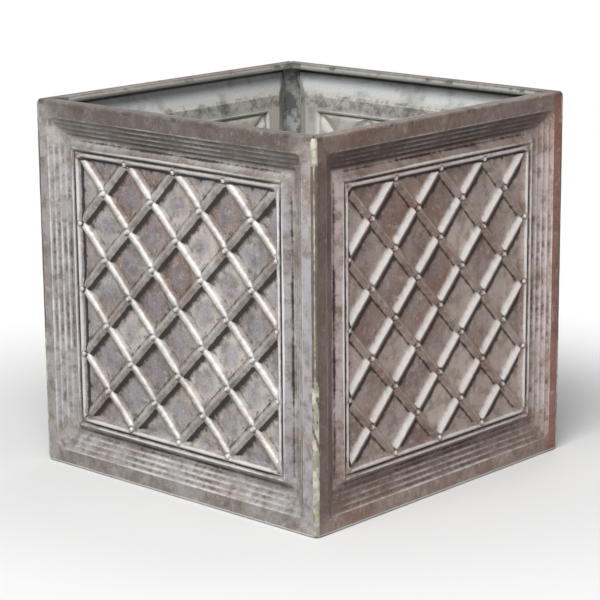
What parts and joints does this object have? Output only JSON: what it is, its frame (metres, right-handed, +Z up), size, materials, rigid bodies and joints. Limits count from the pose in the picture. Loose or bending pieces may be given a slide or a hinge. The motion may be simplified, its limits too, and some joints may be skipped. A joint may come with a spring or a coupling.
{
  "type": "square lattice planter",
  "caption": "Open-topped square planter of pressed sheet metal; each wall is a stepped coffer round a stamped diagonal lattice, with a folded rim and a pan base.",
  "frame": {"origin": "centre of the square footprint, on the ground", "axes": "+Z up through the open top; walls face -Y (front), +X (right), +Y (back) and -X (left)"},
  "size_m": [0.4, 0.4, 0.4],
  "materials": {
    "wall": "aged grey lead-look patina, worn bright on the raised edges, brown in the recesses",
    "seam": "pale solder with moss stains",
    "corner_plate": "dull zinc with dark smudges",
    "base": "dull grey zinc, matt"
  },
  "bodies": {
    "root": {"wall_front": "wall", "wall_right": "wall", "wall_back": "wall", "wall_left": "wall", "seam_front_right": "seam", "seam_back_right": "seam", "seam_back_left": "seam", "seam_front_left": "seam", "corner_plate_front_right": "corner_plate", "corner_plate_back_right": "corner_plate", "corner_plate_back_left": "corner_plate", "corner_plate_front_left": "corner_plate", "base_pan": "base"}
  },
  "joints": []
}
